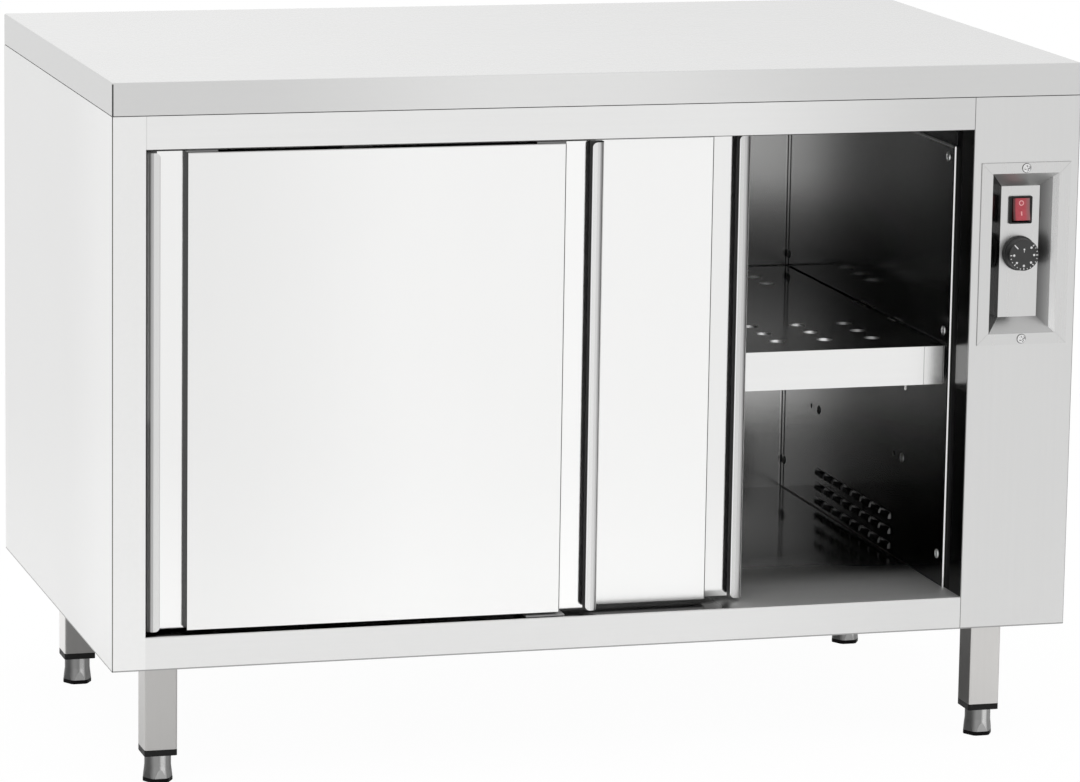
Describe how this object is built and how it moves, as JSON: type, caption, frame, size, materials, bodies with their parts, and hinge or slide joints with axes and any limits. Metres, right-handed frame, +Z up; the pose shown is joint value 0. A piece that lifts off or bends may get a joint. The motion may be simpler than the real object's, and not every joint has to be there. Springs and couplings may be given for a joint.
{
  "type": "plate warmer cabinet",
  "caption": "Free-standing heated cabinet on legs with a flat worktop, sliding doors, an inner shelf and a control column for warming plates.",
  "frame": {"origin": "on the floor, under the middle of the whole cabinet", "axes": "+X to the right seen from the front, +Y to the back, +Z up"},
  "size_m": [1.2, 0.703, 0.85],
  "materials": {
    "brushed_sheet": "brushed stainless steel sheet, satin",
    "polished_sheet": "bright stainless steel of the doors, fine grain",
    "chamber_lining": "mirror-bright stainless lining of the warm chamber",
    "leg_tube": "satin stainless square tube",
    "galvanised_steel": "zinc-coated inner sheet",
    "screw_steel": "bright zinc-plated or stainless fastener",
    "black_plastic": "black moulded plastic, slightly satin",
    "knob_plastic": "black knob with white printed scale",
    "red_rocker": "translucent red rocker with white signs",
    "nylon": "natural nylon",
    "grey_plastic": "grey moulded plastic",
    "rubber": "matt rubber",
    "mineral_wool": "yellow-grey fibre board",
    "heater_tube": "dark annealed steel tube",
    "foot_metal": "bright drawn steel sleeve of a foot"
  },
  "bodies": {
    "cabinet": {"worktop": "brushed_sheet", "worktop_stiffeners": "galvanised_steel", "left_side_panel": "brushed_sheet", "right_side_panel": "brushed_sheet", "back_panel": "brushed_sheet", "underside_panel": "galvanised_steel", "top_front_rail": "brushed_sheet", "cabinet_floor": "chamber_lining", "left_inner_wall": "chamber_lining", "right_inner_wall": "chamber_lining", "back_inner_wall": "chamber_lining", "ceiling_panel": "chamber_lining", "side_insulation": "mineral_wool", "ceiling_insulation": "mineral_wool", "wall_screws": "screw_steel", "shelf_clips": "chamber_lining", "front_door_track": "galvanised_steel", "rear_door_track": "galvanised_steel", "door_guide": "grey_plastic", "door_buffers": "rubber", "control_recess": "brushed_sheet", "recess_screws": "screw_steel", "switch_housing": "black_plastic", "thermostat_body": "grey_plastic", "thermostat_capillary": "screw_steel", "heater_duct": "galvanised_steel", "heating_element": "heater_tube", "fan_frame": "black_plastic", "terminal_block": "black_plastic", "cable_gland": "black_plastic", "leg_front_left": "leg_tube", "leg_front_right": "leg_tube", "leg_back_left": "leg_tube", "leg_back_right": "leg_tube", "leg_inserts": "black_plastic", "leg_bolts": "screw_steel"},
    "front_door": {"front_door_face": "polished_sheet", "front_door_liner": "polished_sheet", "front_door_left_grip": "polished_sheet", "front_door_right_grip": "polished_sheet", "front_door_hangers": "galvanised_steel"},
    "front_door_left_roller": {"front_door_left_roller": "nylon"},
    "front_door_right_roller": {"front_door_right_roller": "nylon"},
    "rear_door": {"rear_door_face": "polished_sheet", "rear_door_liner": "polished_sheet", "rear_door_left_grip": "polished_sheet", "rear_door_right_grip": "polished_sheet", "rear_door_hangers": "galvanised_steel"},
    "rear_door_left_roller": {"rear_door_left_roller": "nylon"},
    "rear_door_right_roller": {"rear_door_right_roller": "nylon"},
    "shelf": {"shelf": "chamber_lining"},
    "rocker": {"rocker": "red_rocker"},
    "knob": {"knob": "knob_plastic", "thermostat_spindle": "screw_steel"},
    "fan": {"fan_impeller": "black_plastic"},
    "foot_front_left": {"foot_front_left": "foot_metal"},
    "foot_front_right": {"foot_front_right": "foot_metal"},
    "foot_back_left": {"foot_back_left": "foot_metal"},
    "foot_back_right": {"foot_back_right": "foot_metal"}
  },
  "joints": [
    {"name": "front_door_slide", "type": "slide", "parent": "cabinet", "child": "front_door", "axis": [1, 0, 0], "range_m": [0, 0.461]},
    {"name": "front_door_left_roller_turn", "type": "hinge", "parent": "front_door", "child": "front_door_left_roller", "pos_m": [-0.4905, -0.3282, 0.79], "axis": [0, 1, 0], "range_deg": [0, 2202.1]},
    {"name": "front_door_right_roller_turn", "type": "hinge", "parent": "front_door", "child": "front_door_right_roller", "pos_m": [-0.0675, -0.3282, 0.79], "axis": [0, 1, 0], "range_deg": [0, 2202.1]},
    {"name": "rear_door_slide", "type": "slide", "parent": "cabinet", "child": "rear_door", "axis": [1, 0, 0], "range_m": [-0.193, 0.268]},
    {"name": "rear_door_left_roller_turn", "type": "hinge", "parent": "rear_door", "child": "rear_door_left_roller", "pos_m": [-0.2975, -0.3002, 0.79], "axis": [0, 1, 0], "range_deg": [-922.5, 1280.6]},
    {"name": "rear_door_right_roller_turn", "type": "hinge", "parent": "rear_door", "child": "rear_door_right_roller", "pos_m": [0.1255, -0.3002, 0.79], "axis": [0, 1, 0], "range_deg": [-922.5, 1280.6]},
    {"name": "shelf_lift", "type": "slide", "parent": "cabinet", "child": "shelf", "axis": [0, 0, 1], "range_m": [0, 0.08]},
    {"name": "rocker_press", "type": "hinge", "parent": "cabinet", "child": "rocker", "pos_m": [0.5315, -0.3295, 0.6685], "axis": [1, 0, 0], "range_deg": [0, 18]},
    {"name": "knob_turn", "type": "hinge", "parent": "cabinet", "child": "knob", "pos_m": [0.5315, -0.3505, 0.615], "axis": [0, 1, 0], "range_deg": [0, 270]},
    {"name": "fan_spin", "type": "hinge", "parent": "cabinet", "child": "fan", "pos_m": [0.5215, 0.1215, 0.25], "axis": [0, 0, 1], "continuous": true},
    {"name": "foot_front_left_screw", "type": "slide", "parent": "cabinet", "child": "foot_front_left", "axis": [0, 0, -1], "range_m": [0, 0.03]},
    {"name": "foot_front_right_screw", "type": "slide", "parent": "cabinet", "child": "foot_front_right", "axis": [0, 0, -1], "range_m": [0, 0.03]},
    {"name": "foot_back_left_screw", "type": "slide", "parent": "cabinet", "child": "foot_back_left", "axis": [0, 0, -1], "range_m": [0, 0.03]},
    {"name": "foot_back_right_screw", "type": "slide", "parent": "cabinet", "child": "foot_back_right", "axis": [0, 0, -1], "range_m": [0, 0.03]}
  ],
  "couplings": [
    {"joint": "front_door_left_roller_turn", "follows": "front_door_slide", "rad_per_m": 83.333},
    {"joint": "front_door_right_roller_turn", "follows": "front_door_slide", "rad_per_m": 83.333},
    {"joint": "rear_door_left_roller_turn", "follows": "rear_door_slide", "rad_per_m": 83.333},
    {"joint": "rear_door_right_roller_turn", "follows": "rear_door_slide", "rad_per_m": 83.333}
  ]
}
